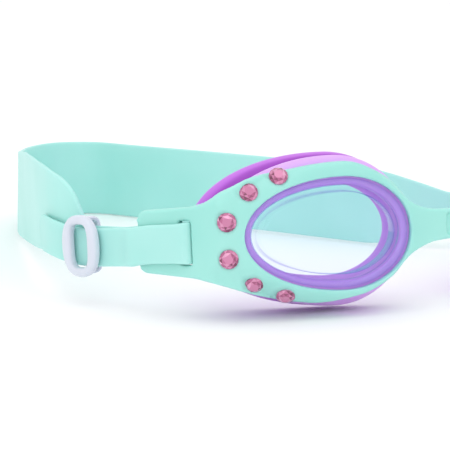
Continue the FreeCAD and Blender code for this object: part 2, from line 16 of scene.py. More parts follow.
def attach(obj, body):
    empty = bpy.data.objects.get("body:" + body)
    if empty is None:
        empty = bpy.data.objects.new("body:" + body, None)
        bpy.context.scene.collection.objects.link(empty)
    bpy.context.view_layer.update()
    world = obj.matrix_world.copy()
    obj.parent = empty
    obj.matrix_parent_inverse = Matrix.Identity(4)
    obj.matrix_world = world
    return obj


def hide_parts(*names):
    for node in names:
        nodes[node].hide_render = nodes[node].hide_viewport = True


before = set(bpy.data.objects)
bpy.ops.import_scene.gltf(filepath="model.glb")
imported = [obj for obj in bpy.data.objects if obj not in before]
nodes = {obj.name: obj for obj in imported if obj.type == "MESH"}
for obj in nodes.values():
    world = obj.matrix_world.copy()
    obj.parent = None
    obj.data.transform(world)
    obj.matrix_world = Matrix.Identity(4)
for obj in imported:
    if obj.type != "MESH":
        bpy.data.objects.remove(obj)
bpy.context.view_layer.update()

# %% [markdown]
# ## Drawing frame
#
# The pieces are drawn upright, in millimetres: X to the wearer's left, Y to the back of the head, Z up,
# from the middle of the nose bridge. `to_world` lays them down as the goggles lie on the table.

# %% drawing frame
PITCH = math.radians(5.5505)
MOVE = np.array([3.6516, -86.6778, 21.6240])


def to_world(points):
    """Drawing-frame millimetres to scene metres."""
    points = np.asarray(points, float).reshape(-1, 3)
    c, s = math.cos(PITCH), math.sin(PITCH)
    turned = np.column_stack([points[:, 0], points[:, 1] * c + points[:, 2] * s,
                              -points[:, 1] * s + points[:, 2] * c])
    return (turned + MOVE) / 1000


def new_object(name, vertices, faces, material, smooth=True):
    """A mesh object from scene-space vertices."""
    mesh = bpy.data.meshes.new(name)
    mesh.from_pydata([tuple(v) for v in vertices], [], faces)
    mesh.validate()
    mesh.update()
    mesh.materials.append(material)
    mesh.polygons.foreach_set("use_smooth", [smooth] * len(mesh.polygons))
    obj = bpy.data.objects.new(name, mesh)
    bpy.context.collection.objects.link(obj)
    return obj


def tube_faces(rings, count, closed_rings=False, cap_ends=True):
    """Quads over a stack of closed rings, with the two ends capped or joined."""
    faces = []
    spans = rings if closed_rings else rings - 1
    for i in range(spans):
        a, b = i * count, ((i + 1) % rings) * count
        for j in range(count):
            k = (j + 1) % count
            faces.append((a + j, a + k, b + k, b + j))
    if cap_ends and not closed_rings:
        faces.append(tuple(reversed(range(count))))
        faces.append(tuple(range((rings - 1) * count, rings * count)))
    return faces


def outward(obj):
    """Turns all of a closed mesh's normals outward."""
    work = bmesh.new()
    work.from_mesh(obj.data)
    bmesh.ops.recalc_face_normals(work, faces=work.faces)
    work.to_mesh(obj.data)
    work.free()


def applied(obj):
    """Replaces an object's mesh with the result of its modifiers, and removes them."""
    graph = bpy.context.evaluated_depsgraph_get()
    mesh = bpy.data.meshes.new_from_object(obj.evaluated_get(graph))
    obj.modifiers.clear()
    obj.data = mesh
    return obj


# %% [markdown]
# ## Materials
#
# Procedural, in real units: Object coordinates are metres, so a scale of 1000 makes a pattern unit 1 mm.

# %% materials
def linear(hex_colour):
    """An sRGB hex colour as linear RGBA."""
    values = [int(hex_colour[i:i + 2], 16) / 255 for i in (1, 3, 5)]
    return tuple(v / 12.92 if v <= 0.04045 else ((v + 0.055) / 1.055) ** 2.4 for v in values) + (1.0,)


def add_node(tree, kind, links=None, **values):
    """A node with constants set on its sockets or attributes, and its inputs linked."""
    node = tree.nodes.new(kind)
    for key, value in values.items():
        name = key.replace("_", " ")
        match = next((s for s in node.inputs if s.name.lower() == name), None)
        if match is not None:
            match.default_value = value
        else:
            setattr(node, key, value)
    for socket, source in (links or {}).items():
        tree.links.new(source, node.inputs[socket])
    return node


def start_material(name):
    """An empty node material with its output node."""
    material = bpy.data.materials.new(name)
    material.use_nodes = True
    material.node_tree.nodes.clear()
    return material, material.node_tree, material.node_tree.nodes.new("ShaderNodeOutputMaterial")


def mottled(tree, dark, light, size_mm, low=0.35, high=0.65):
    """A slow colour drift between two shades, size_mm across."""
    where = add_node(tree, "ShaderNodeTexCoord")
    noise = add_node(tree, "ShaderNodeTexNoise", {"Vector": where.outputs["Object"]},
                     scale=1000 / size_mm, detail=2.0)
    ramp = add_node(tree, "ShaderNodeValToRGB", {"Fac": noise.outputs["Fac"]})
    ramp.color_ramp.elements[0].position = low
    ramp.color_ramp.elements[0].color = linear(dark)
    ramp.color_ramp.elements[1].position = high
    ramp.color_ramp.elements[1].color = linear(light)
    return where, ramp


def silicone(name, dark, light, roughness, glow, sss_mm, bump=0.03):
    """Soft moulded silicone: light spreads a little under a satin skin with a very fine grain."""
    material, tree, output = start_material(name)
    where, colour = mottled(tree, dark, light, 25)
    grain = add_node(tree, "ShaderNodeTexNoise", {"Vector": where.outputs["Object"]},
                     scale=2600.0, detail=3.0)
    rough = add_node(tree, "ShaderNodeMapRange", {"Value": grain.outputs["Fac"]})
    rough.inputs["To Min"].default_value = roughness - 0.05
    rough.inputs["To Max"].default_value = roughness + 0.06
    dents = add_node(tree, "ShaderNodeBump", {"Height": grain.outputs["Fac"]}, strength=bump, distance=0.0001)
    shader = add_node(tree, "ShaderNodeBsdfPrincipled",
                      {"Base Color": colour.outputs["Color"], "Roughness": rough.outputs["Result"],
                       "Normal": dents.outputs["Normal"]})
    shader.inputs["Subsurface Weight"].default_value = glow
    shader.inputs["Subsurface Radius"].default_value = (1.0, 1.0, 1.0)
    shader.inputs["Subsurface Scale"].default_value = sss_mm / 1000
    tree.links.new(shader.outputs["BSDF"], output.inputs["Surface"])
    return material


mint = silicone("mint silicone", "#98dad1", "#a0dfd6", 0.40, 0.35, 1.5)
# The strap's mint is lighter than the frame's: partly a paler colour of its own, partly painted light that
# brightens the shaded inside of the loop.
strap_mint_painted_lighter = silicone("mint strap silicone painted lighter", "#a6e1da", "#aee5df", 0.40, 0.3, 1.6)
purple = silicone("purple silicone with painted light and shade", "#b056cf", "#bd68da", 0.34, 0.3, 1.2)


def with_painted_light_and_shade(material, dark, middle, light):
    """The same silicone with painted light and shade, set by each point's own value: from a deep painted
    shade to a pale painted highlight.
    """
    tree = material.node_tree
    painted_light = add_node(tree, "ShaderNodeAttribute", attribute_name="painted_light")
    ramp = add_node(tree, "ShaderNodeValToRGB", {"Fac": painted_light.outputs["Fac"]})
    ramp.color_ramp.elements[0].color = linear(dark)
    ramp.color_ramp.elements[1].color = linear(light)
    ramp.color_ramp.elements.new(0.5).color = linear(middle)
    shader = next(n for n in tree.nodes if n.type == "BSDF_PRINCIPLED")
    drift = shader.inputs["Base Color"].links[0].from_socket
    blend = add_node(tree, "ShaderNodeMix", data_type="RGBA", blend_type="MIX")
    blend.inputs[0].default_value = 0.85
    tree.links.new(drift, blend.inputs[6])
    tree.links.new(ramp.outputs["Color"], blend.inputs[7])
    tree.links.new(blend.outputs[2], shader.inputs["Base Color"])


# The purple's painted light and shade: deep magenta as painted shade in the groove, lavender as painted light
# on the bead, mixed over the silicone's own drift.
with_painted_light_and_shade(purple, "#8d12ae", "#c064de", "#e2b6f6")
slide_white = silicone("slide plastic", "#d3d8e4", "#dde1ec", 0.22, 0.25, 0.8, 0.01)


def clear_plastic(name, tint, painted_edge_reflection):
    """Clear moulded plastic: tinted see-through, with a gloss that strengthens at grazing angles. Towards
    grazing angles the see-through colour turns to a painted reflection, the purple of the gasket as seen in
    the lens walls.
    """
    material, tree, output = start_material(name)
    facing = add_node(tree, "ShaderNodeLayerWeight", blend=0.35)
    ramp = add_node(tree, "ShaderNodeValToRGB", {"Fac": facing.outputs["Facing"]})
    ramp.color_ramp.elements[0].position = 0.35
    ramp.color_ramp.elements[0].color = linear(tint)
    ramp.color_ramp.elements[1].position = 0.95
    ramp.color_ramp.elements[1].color = linear(painted_edge_reflection)
    through = add_node(tree, "ShaderNodeBsdfTransparent", {"Color": ramp.outputs["Color"]})
    where = add_node(tree, "ShaderNodeTexCoord")
    haze = add_node(tree, "ShaderNodeTexNoise", {"Vector": where.outputs["Object"]}, scale=120.0, detail=2.0)
    rough = add_node(tree, "ShaderNodeMapRange", {"Value": haze.outputs["Fac"]})
    rough.inputs["To Min"].default_value = 0.02
    rough.inputs["To Max"].default_value = 0.06
    gloss = add_node(tree, "ShaderNodeBsdfGlossy", {"Roughness": rough.outputs["Result"]},
                     color=(1.0, 1.0, 1.0, 1.0))
    mirror = add_node(tree, "ShaderNodeMapRange", {"Value": facing.outputs["Facing"]})
    for socket, value in (("From Min", 0.3), ("From Max", 1.0), ("To Min", 0.03), ("To Max", 0.4)):
        mirror.inputs[socket].default_value = value
    mix = add_node(tree, "ShaderNodeMixShader",
                   {0: mirror.outputs["Result"], 1: through.outputs["BSDF"], 2: gloss.outputs["BSDF"]})
    tree.links.new(mix.outputs["Shader"], output.inputs["Surface"])
    return material


# The second colour is a painted reflection: the bluish purple of the gasket, seen in the lens walls at
# grazing angles.
lens_clear = clear_plastic("clear lens with painted edge reflection", "#f8fbff", "#abb5ee")


def stone(name):
    """A pink cut stone on silver foil: each facet takes its own painted brightness from its face attribute,
    painted glints and painted shade standing in for the light the facets throw back.
    """
    material, tree, output = start_material(name)
    painted_light = add_node(tree, "ShaderNodeAttribute", attribute_name="painted_light")
    # The ramp runs from painted shade on the darkest facets to painted glints on the brightest.
    ramp = add_node(tree, "ShaderNodeValToRGB", {"Fac": painted_light.outputs["Fac"]})
    ramp.color_ramp.elements[0].position = 0.0
    ramp.color_ramp.elements[0].color = linear("#6f2c4c")
    ramp.color_ramp.elements[1].position = 1.0
    ramp.color_ramp.elements[1].color = linear("#f1add0")
    middle = ramp.color_ramp.elements.new(0.5)
    middle.color = linear("#bb628f")
    shader = add_node(tree, "ShaderNodeBsdfPrincipled", {"Base Color": ramp.outputs["Color"]})
    shader.inputs["Metallic"].default_value = 0.35
    shader.inputs["Roughness"].default_value = 0.08
    shader.inputs["Coat Weight"].default_value = 1.0
    shader.inputs["Coat Roughness"].default_value = 0.02
    tree.links.new(shader.outputs["BSDF"], output.inputs["Surface"])
    return material


pink = stone("pink stone with painted glints")
print("materials:", [m.name for m in (mint, strap_mint_painted_lighter, purple, slide_white, lens_clear, pink)])

# %% [markdown]
# ## Softened frame
#
# The frame is moulded in soft silicone: the CAD piece's sharp edges are rounded by rebuilding a copy
# as an even mesh and relaxing it a little.

# %% softened copies
def relaxed(obj, voxel_mm, relax, material):
    """Rebuilds an object as an even mesh with its edges rounded over about one or two voxels."""
    even = obj.modifiers.new("even mesh", "REMESH")
    even.mode = "VOXEL"
    even.voxel_size = voxel_mm / 1000
    ease = obj.modifiers.new("relaxed edges", "SMOOTH")
    ease.factor = 0.5
    ease.iterations = relax
    applied(obj)
    obj.data.materials.clear()
    obj.data.materials.append(material)
    obj.data.polygons.foreach_set("use_smooth", [True] * len(obj.data.polygons))
    outward(obj)


def softened(node, name, voxel_mm, relax, material):
    """A relaxed copy of a CAD piece."""
    obj = bpy.data.objects.new(name, nodes[node].data.copy())
    bpy.context.collection.objects.link(obj)
    work = bmesh.new()
    work.from_mesh(obj.data)
    bmesh.ops.remove_doubles(work, verts=work.verts, dist=0.00001)
    work.to_mesh(obj.data)
    work.free()
    relaxed(obj, voxel_mm, relax, material)
    return obj


shell = softened("frame", "frame_shell", 0.36, 8, mint)
print("frame faces:", len(shell.data.polygons))

# %% [markdown]
# ## Eyepieces
#
# Gasket and lens are lofted round the opening's egg outline, which is four quarter ellipses with a
# longer reach at the temple than at the nose.

# %% egg outline
TEMPLE_REACH, NOSE_REACH, HALF_HEIGHT = 26.7, 17.8, 14.2
EYE = dict(x=31.0, y=4.0, wrap=math.radians(11.0), cant=math.radians(2.4))
AROUND = 128


def egg_ring(depth, temple, top, nose, tilt=0.0, scale=1.0):
    """One ring of the egg, grown by its margins, at a depth behind the opening."""
    t = np.linspace(0, 2 * math.pi, AROUND, endpoint=False)
    reach = np.where(np.cos(t) < 0, TEMPLE_REACH + temple, NOSE_REACH + nose)
    x = reach * np.cos(t) * scale
    z = (HALF_HEIGHT + top) * np.sin(t) * scale
    y = np.full_like(x, depth)
    c, s = math.cos(tilt), math.sin(tilt)
    return np.column_stack([x * c, depth - x * s + (y - depth), z])


def in_goggles(points, side):
    """Right-eye points to the drawing frame; side 1 mirrors them to the left eye."""
    x, y, z = points.T
    cant = EYE["cant"]
    x, z = x * math.cos(cant) + z * math.sin(cant), -x * math.sin(cant) + z * math.cos(cant)
    wrap = -EYE["wrap"]
    x, y = x * math.cos(wrap) - y * math.sin(wrap), x * math.sin(wrap) + y * math.cos(wrap)
    return np.column_stack([-side * (x - EYE["x"]), y + EYE["y"], z])


def rounded_profile(points, steps):
    """A closed profile through points, rounded as a Catmull-Rom curve."""
    points = np.asarray(points, float)
    count = len(points)
    result = []
    for i in range(count):
        a, b, c, d = (points[(i + k) % count] for k in (-1, 0, 1, 2))
        for t in np.linspace(0, 1, steps, endpoint=False):
            result.append(0.5 * (2 * b + (c - a) * t + (2 * a - 5 * b + 4 * c - d) * t ** 2
                                 + (3 * b - a - 3 * c + d) * t ** 3))
    return np.array(result)


# %% [markdown]
# ## Domed rims
#
# The rims' fronts are domed: they fall back from the lens opening towards the outer edge, most above
# and below the eye and hardly at all towards the lugs and the bridge. The rim is also slimmer under the
# eye at the nose side, and a little fuller above it at the temple.

# %% domed rims
DOME_DEPTH, DOME_REACH, DOME_LIMIT, LOWER_DOME = 1.6, 4.0, 5.5, 0.5
SLIMMER_BY, FULLER_BY = 0.4, 1.8


def smooth_step(value, start, end):
    t = np.clip((np.asarray(value, float) - start) / (end - start), 0, 1)
    return t * t * (3 - 2 * t)


def outside_egg(x, z):
    """How far a point lies outside the egg, as a share of its distance from the eyepiece's middle."""
    reach = np.where(x < 0, TEMPLE_REACH, NOSE_REACH)
    radius = np.maximum(np.hypot(x / reach, z / HALF_HEIGHT), 1e-6)
    return np.clip(1 - 1 / radius, 0, 1)


def dome_fall(x, z):
    """How far the rim's front has fallen back at a point of the eyepiece, by its distance outside the egg."""
    margin = np.minimum(outside_egg(x, z) * np.hypot(x, z), DOME_LIMIT)
    away = smooth_step(np.abs(z), 5.0, 12.0) * (1 - 0.7 * smooth_step(-x, 17.0, 30.0))
    away = away * (1 + LOWER_DOME * smooth_step(-z, 4.0, 12.0))
    return DOME_DEPTH * (margin / DOME_REACH) ** 2 * away


def at_eye(points, side):
    """Drawing-frame points to the eyepiece's own frame: the way back from in_goggles."""
    x, y, z = (np.asarray(points, float) * (-side, 1, 1) + (EYE["x"], -EYE["y"], 0)).T
    wrap, cant = EYE["wrap"], -EYE["cant"]
    x, y = x * math.cos(wrap) - y * math.sin(wrap), x * math.sin(wrap) + y * math.cos(wrap)
    x, z = x * math.cos(cant) + z * math.sin(cant), -x * math.sin(cant) + z * math.cos(cant)
    return np.column_stack([x, y, z])


def from_world(points):
    """Scene metres to drawing-frame millimetres."""
    moved = np.asarray(points, float) * 1000 - MOVE
    c, s = math.cos(PITCH), math.sin(PITCH)
    return np.column_stack([moved[:, 0], moved[:, 1] * c - moved[:, 2] * s,
                            moved[:, 1] * s + moved[:, 2] * c])


flat = np.empty(len(shell.data.vertices) * 3)
shell.data.vertices.foreach_get("co", flat)
drawn = from_world(flat.reshape(-1, 3))
for side in (-1, 1):
    own = drawn[:, 0] * side > 0
    local = at_eye(drawn[own], side)
    slim = SLIMMER_BY * smooth_step(local[:, 0], -8, 4) * smooth_step(-local[:, 2], 4, 9)
    share, radius = outside_egg(local[:, 0], local[:, 2]), np.hypot(local[:, 0], local[:, 2])
    full = smooth_step(share * radius, 4.0, 6.5) * smooth_step(local[:, 2], 3, 8)
    full *= smooth_step(-local[:, 0], 10, 22) * (1 - smooth_step(-local[:, 0], 30, 37))
    local[:, (0, 2)] *= (1 - slim * share + FULLER_BY * full / np.maximum(radius, 1))[:, None]
    front = 1 - smooth_step(local[:, 1], 1.2, 3.2)
    local[:, 1] += dome_fall(local[:, 0], local[:, 2]) * front
    drawn[own] = in_goggles(local, side)
shell.data.vertices.foreach_set("co", to_world(drawn).ravel())
shell.data.update()
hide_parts("frame")
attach(shell, "goggles")
print("deepest fall of the dome in mm:", round(float(dome_fall(np.array([-5.0]), np.array([18.0]))[0]), 2))

# %% [markdown]
# ## Gaskets
#
# A soft ring round the lens: a bead behind the rim, a groove, and the lip that flares to the face. The bead
# is painted pale as painted light where its wall faces up, and the groove is painted dark as painted shade.

# %% gaskets
# Depth behind the opening, margin round it, and painted light (0 painted shade in the groove, 1 painted
# highlight on the bead), once round the soft wall.
GASKET_PROFILE = ((1.5, -2.0, 0.85), (1.35, 0.3, 0.85), (1.5, 1.9, 0.8), (3.5, 2.1, 0.7), (6.0, 2.1, 0.8),
                  (6.9, 3.6, 1.0), (8.0, 4.8, 1.0), (9.1, 4.7, 1.0), (9.7, 3.4, 0.1), (10.3, 2.9, 0.0),
                  (11.4, 3.6, 0.0), (12.6, 4.6, 0.1), (13.6, 5.1, 0.45), (15.0, 5.45, 0.55), (15.7, 5.2, 0.6),
                  (15.9, 3.6, 0.6), (15.9, 1.0, 0.65), (15.7, -1.7, 0.8), (15.2, -2.2, 0.95),
                  (14.4, -1.5, 0.9), (12.5, -0.4, 0.85), (9.0, -0.2, 0.85), (6.6, -1.0, 0.8),
                  (5.2, -2.0, 0.7), (3.2, -2.15, 0.6))
PROFILE_STEPS = 4
FULL_DEPTH, RING_DEPTH, FACE_TILT = 15.9, 6.2, math.radians(9.0)


def gasket_rings():
    """The profile once round the egg: slim at the nose, long at the temple, tilted at the face."""
    rings = []
    for depth, margin, _ in rounded_profile(GASKET_PROFILE, PROFILE_STEPS):
        tilt = FACE_TILT * min(max((depth - RING_DEPTH) / (FULL_DEPTH - RING_DEPTH), 0), 1)
        nose = temple = margin
        if margin > 0:
            nose = margin * (0.07 + 0.5 * float(smooth_step(depth, 6.2, 9.0)))
            temple = margin * (1 + 0.5 * float(smooth_step(depth, 9.0, 15.0)))
        rings.append(egg_ring(depth, temple, margin, nose, tilt))
    return rings


gaskets = {}
for side, name in ((-1, "right"), (1, "left")):
    rings = gasket_rings()
    vertices = to_world(in_goggles(np.vstack(rings), side))
    faces = tube_faces(len(rings), AROUND, closed_rings=True)
    obj = new_object(f"gasket_{name}_soft", vertices, faces, purple)
    # Each ring carries a painted light value: painted shade in the groove, painted highlight on the bead.
    painted_light = obj.data.attributes.new("painted_light", "FLOAT", "POINT")
    painted_light_values = rounded_profile(GASKET_PROFILE, PROFILE_STEPS)[:, 2]
    painted_light.data.foreach_set("value", np.repeat(np.clip(painted_light_values, 0, 1), AROUND))
    outward(obj)
    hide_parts(f"gasket_{name}")
    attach(obj, "goggles")
    gaskets[name] = obj
print("gasket faces:", len(gaskets["right"].data.polygons))

# %% [markdown]
# ## Lenses
#
# A clear cup: a raised window, a bevel, a flange that the gasket grips, and a short skirt behind it.

# %% lenses
# Depth, insets at temple, top and nose, and share of the outline, from the middle of the window outside,
# over the bevel and the flange, and back inside the cup to the window's middle.
LENS_PROFILE = ((-2.0, -4.0, -2.9, -4.0, 0.02), (-2.0, -4.0, -2.9, -4.0, 0.2),
                (-1.95, -4.0, -2.9, -4.0, 0.45), (-1.85, -4.0, -2.9, -4.0, 0.7),
                (-1.7, -4.0, -2.9, -4.0, 0.9), (-1.6, -4.0, -2.9, -4.0, 0.99),
                (-1.4, -3.7, -2.6, -3.7, 1), (-0.5, -2.6, -1.9, -2.6, 1), (0.5, -1.2, -0.9, -1.2, 1),
                (0.75, -0.6, -0.6, -0.6, 1), (1.0, -0.5, -0.5, -0.5, 1), (1.1, -0.7, -0.7, -0.7, 1),
                (1.15, -2.3, -2.3, -2.3, 1), (3.15, -2.3, -2.3, -2.3, 1), (3.2, -0.8, -0.8, -0.8, 1),
                (4.6, -0.8, -0.8, -0.8, 1), (4.7, -2.3, -2.3, -2.3, 1), (5.6, -2.35, -2.35, -2.35, 1),
                (5.9, -2.7, -2.7, -2.7, 1), (5.9, -3.4, -3.4, -3.4, 1), (5.6, -3.7, -3.7, -3.7, 1),
                (1.8, -3.7, -3.7, -3.7, 1), (1.2, -3.9, -3.8, -3.9, 1), (0.0, -5.0, -3.9, -5.0, 1),
                (-0.3, -4.6, -3.5, -4.6, 0.93), (-0.45, -4.0, -2.9, -4.0, 0.7),
                (-0.55, -4.0, -2.9, -4.0, 0.45), (-0.6, -4.0, -2.9, -4.0, 0.2),
                (-0.6, -4.0, -2.9, -4.0, 0.02))
for side, name in ((-1, "right"), (1, "left")):
    rings = [egg_ring(d, temple, top, nose, 0.0, share) for d, temple, top, nose, share in LENS_PROFILE]
    vertices = to_world(in_goggles(np.vstack(rings), side))
    obj = new_object(f"lens_{name}_cup", vertices, tube_faces(len(rings), AROUND), lens_clear)
    outward(obj)
    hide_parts(f"lens_{name}")
    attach(obj, "goggles")
print("lens rings:", len(LENS_PROFILE))

# %% [markdown]
# ## Head strap
#
# One silicone band swept along a plan line: from the tail outside the right slide, round the right lug
# through its slot, back inside it, round behind the head, and the same at the left. The line is given
# as corners with an easy bend at each, and the two edges' heights follow the distance back.

# %% strap line
THICK, NARROW = 1.2, 9.8
SIDES = {-1: "right", 1: "left"}
LUG_ROOT = {-1: np.array([-66.937, 18.250]), 1: np.array([66.937, 18.250])}
LUG_HEADING = {-1: math.radians(115), 1: math.radians(65)}
RUN_HEADING = {-1: math.radians(105), 1: math.radians(133)}


def heading(angle):
    return np.array([math.cos(angle), math.sin(angle)])


def beside(angle, side):
    """The outward unit vector beside a heading that leads away from the lens."""
    x, y = heading(angle)
    return np.array([-y, x]) * -side


def by_lug(side, along, outward_by):
    angle = LUG_HEADING[side]
    return LUG_ROOT[side] + heading(angle) * along + beside(angle, side) * outward_by


def by_run(side, along, outward_by):
    angle = RUN_HEADING[side]
    middle = by_lug(side, 16.0, 0) + heading(angle) * 18.8
    return middle + heading(angle) * along + beside(angle, side) * outward_by


def eased_line(corners, step=0.7, share=0.45):
    """An even line along the corners, each turned with a parabola that its two runs have room for."""
    corners = [np.asarray(c, float) for c in corners]
    line = [corners[0]]
    for before, corner, after in zip(corners, corners[1:], corners[2:]):
        reach = share * min(np.linalg.norm(corner - before), np.linalg.norm(after - corner))
        a = corner + (before - corner) / np.linalg.norm(before - corner) * reach
        b = corner + (after - corner) / np.linalg.norm(after - corner) * reach
        for t in np.linspace(0, 1, 17):
            line.append((1 - t) ** 2 * a + 2 * t * (1 - t) * corner + t ** 2 * b)
    line.append(corners[-1])
    line = np.array(line)
    lengths = np.concatenate([[0], np.cumsum(np.linalg.norm(np.diff(line, axis=0), axis=1))])
    even = np.linspace(0, lengths[-1], int(lengths[-1] / step) + 1)
    return np.column_stack([np.interp(even, lengths, line[:, k]) for k in (0, 1)]), even


RIGHT_ROUTE = ((-77.5, 81.0), (-68.5, 106.0), (-60.0, 129.0), (-50.5, 152.0), (-40.0, 168.0), (-27.0, 174.0))
LEFT_ROUTE = ((-15.0, 168.0), (-8.0, 153.0), (2.0, 134.0), (12.0, 113.0), (20.5, 97.0), (30.0, 79.0))
BESIDE_LUG, BESIDE_LAYER, SLOT_CROSSING = 1.9, 0.85, 0.4


def doubled_end(side):
    """Corners from the tail's end, round the lug and back to the inner layer beyond the slide."""
    turn = abs(RUN_HEADING[side] - LUG_HEADING[side])
    fold = 16.0 + 1.5 + BESIDE_LUG * math.tan(turn / 2)
    after = by_run(side, 14.0, -BESIDE_LAYER)
    first = np.array(RIGHT_ROUTE[0] if side < 0 else LEFT_ROUTE[-1])
    onward = (first - after) / np.linalg.norm(first - after)
    across = np.array([-onward[1], onward[0]]) * -side
    tail_end = after + onward * 9.0 + across * 2 * BESIDE_LAYER
    return [tail_end, by_run(side, 14.0, BESIDE_LAYER), by_run(side, -13.5, BESIDE_LAYER),
            by_lug(side, fold, BESIDE_LUG), by_lug(side, SLOT_CROSSING, BESIDE_LUG),
            by_lug(side, SLOT_CROSSING, -BESIDE_LUG),
            by_lug(side, 16.3, -BESIDE_LUG), by_run(side, -13.5, -BESIDE_LAYER), after]


# %% [markdown]
# ## Slides
#
# Each slide is an oval ring in front of the doubled strap and a staple behind it, moulded as one.

# %% slides
RUN_DROP, RING_STEPS, SECTION_STEPS = -1.5, 96, 20
SLIDE_HALF, WINDOW_HALF = (6.4, 8.0), (3.1, 5.5)
RING_OUT, RING_HALF_DEPTH = 3.15, 1.35
STAPLE_FRONT, STAPLE_BACK, STAPLE_UP, STAPLE_SECTION = 2.8, -2.4, 6.8, (1.5, 0.62)


def oval(half_along, half_up, power, count):
    """A superellipse as along and up."""
    t = np.linspace(0, 2 * math.pi, count, endpoint=False)
    c, s = np.cos(t), np.sin(t)
    return np.column_stack([half_along * np.sign(c) * np.abs(c) ** (2 / power),
                            half_up * np.sign(s) * np.abs(s) ** (2 / power)])


def slide_ring():
    """The oval ring in front of the two strap layers, as along, outward and up."""
    outside, inside = oval(*SLIDE_HALF, 2.3, RING_STEPS), oval(*WINDOW_HALF, 4.0, RING_STEPS)
    section = oval(0.5, RING_HALF_DEPTH, 2.6, SECTION_STEPS)
    rings = []
    for inner, outer in zip(inside, outside):
        points = [inner + (outer - inner) * (0.5 + share) for share, _ in section]
        rings.append([(p[0], RING_OUT + rise, p[1]) for p, (_, rise) in zip(points, section)])
    return rings


def slide_staple():
    """The staple that joins the ring's top and bottom behind the layers, as along, outward and up."""
    corners = [(STAPLE_FRONT, STAPLE_UP), (STAPLE_BACK, STAPLE_UP),
               (STAPLE_BACK, -STAPLE_UP), (STAPLE_FRONT, -STAPLE_UP)]
    path, _ = eased_line(corners, step=0.4, share=0.4)
    runs = np.gradient(path, axis=0)
    runs /= np.linalg.norm(runs, axis=1)[:, None]
    section = oval(*STAPLE_SECTION, 3.5, SECTION_STEPS)
    return [[(wide, p[0] - r[1] * thick, p[1] + r[0] * thick) for wide, thick in section]
            for p, r in zip(path, runs)]


for side, name in SIDES.items():
    ring, staple = slide_ring(), slide_staple()
    local = np.vstack(ring + staple)
    drawn = np.array([[*by_run(side, a, o), up + RUN_DROP] for a, o, up in local])
    faces = tube_faces(len(ring), SECTION_STEPS, closed_rings=True)
    start = len(ring) * SECTION_STEPS
    faces += [tuple(v + start for v in face) for face in tube_faces(len(staple), SECTION_STEPS)]
    slide = new_object(f"slide_{name}_shell", to_world(drawn), faces, slide_white)
    outward(slide)
    relaxed(slide, 0.2, 5, slide_white)
    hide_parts(f"buckle_{name}")
    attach(slide, f"slide_{name}")
    print(slide.name, "faces:", len(slide.data.polygons))

# %% [markdown]
# ## Head strap's edges and band
#
# The two edges' heights follow the distance back; the tail and the outer layer keep the narrow width.

# %% strap route
line, along = eased_line(doubled_end(-1) + list(RIGHT_ROUTE) + list(LEFT_ROUTE) + doubled_end(1)[::-1])
print("strap length in mm:", round(along[-1], 1), "rings:", len(line))

# %% strap edges
# Distance back, and height of the lower edge's middle line and of what the band grows by above it.
RUN_LOWER = ((0.0, 0.0), (29.0, 0.0), (37.0, -1.5), (53.0, -1.5))
REST_FROM = (160.2, 0.2 - 1.44)
LOWER = {-1: RUN_LOWER + ((57.5, 0.8), (62.0, 0.9), (70.0, 0.7), (78.5, 0.2), (94.0, -0.6), (122.0, -1.4),
                       (142.0, -1.9), REST_FROM, (176.0, 0.2)),
         1: RUN_LOWER + ((60.0, -3.6), (64.0, -5.2), (70.0, -6.6), (76.0, -7.6), (82.0, -8.5), (113.0, -5.2),
                       REST_FROM, (176.0, 0.2))}
GROWTH = {-1: ((0.0, 0.0), (53.4, 0.0), (55.2, 4.6), (57.8, 7.4), (61.9, 9.8), (66.1, 11.0), (70.3, 12.0),
               (78.5, 13.4), (94.0, 14.8), (118.0, 15.2), (142.0, 14.4), (156.0, 13.2), (166.0, 12.2),
               (176.0, 12.2)),
          1: ((0.0, 0.0), (61.0, 0.2), (64.0, 0.9), (66.0, 2.5), (70.0, 5.4), (75.4, 8.8), (82.0, 12.1),
              (92.0, 12.2), (176.0, 12.2))}


def soft_steps(table, y, blur):
    """A table of heights read at y and averaged over a window, so that its corners are eased."""
    xs, zs = zip(*table)
    return np.mean([np.interp(y + d, xs, zs) for d in np.linspace(-blur, blur, 9)], axis=0)


apex = int(np.argmax(line[:, 1]))
plan_y = line[:, 1]
side_of = np.where(np.arange(len(line)) < apex, -1, 1)
lower = np.where(side_of < 0, soft_steps(LOWER[-1], plan_y, 3.0), soft_steps(LOWER[1], plan_y, 3.0))
growth = np.where(side_of < 0, soft_steps(GROWTH[-1], plan_y, 1.6), soft_steps(GROWTH[1], plan_y, 1.6))

# The tail and the outer layer keep the narrow width, and hang a little lower than the inner layer.
OUTER_LENGTH, OUTER_SAG = 42.0, 0.5
OUTER_LEVEL = ((0.0, 0.0), (19.0, 0.0), (47.0, -1.5), (55.0, -1.5), (66.0, 0.8), (90.0, 2.0))
from_end = np.minimum(along, along[-1] - along)
outer = from_end < OUTER_LENGTH
growth = np.where(outer, 0.0, growth)
lower = np.where(outer, soft_steps(OUTER_LEVEL, plan_y, 3.0), lower)
lower = lower - OUTER_SAG * (1 - smooth_step(from_end, OUTER_LENGTH, OUTER_LENGTH + 20.0))
low = lower - NARROW / 2
high = lower + NARROW / 2 + growth

# At the fold the band fills the height of the lug's slot.
FOLD_GROWTH, FOLD_SPREAD = 0.4, 3.0
to_fold = {side: np.linalg.norm(line - by_lug(side, SLOT_CROSSING, 0.0), axis=1) for side in SIDES}
fold_from_end = {side: from_end[int(np.argmin(reach))] for side, reach in to_fold.items()}
past_fold = from_end - np.where(side_of < 0, fold_from_end[-1], fold_from_end[1])
at_fold = np.exp(-((past_fold / FOLD_SPREAD) ** 2))
low, high = low - FOLD_GROWTH * at_fold, high + FOLD_GROWTH * at_fold

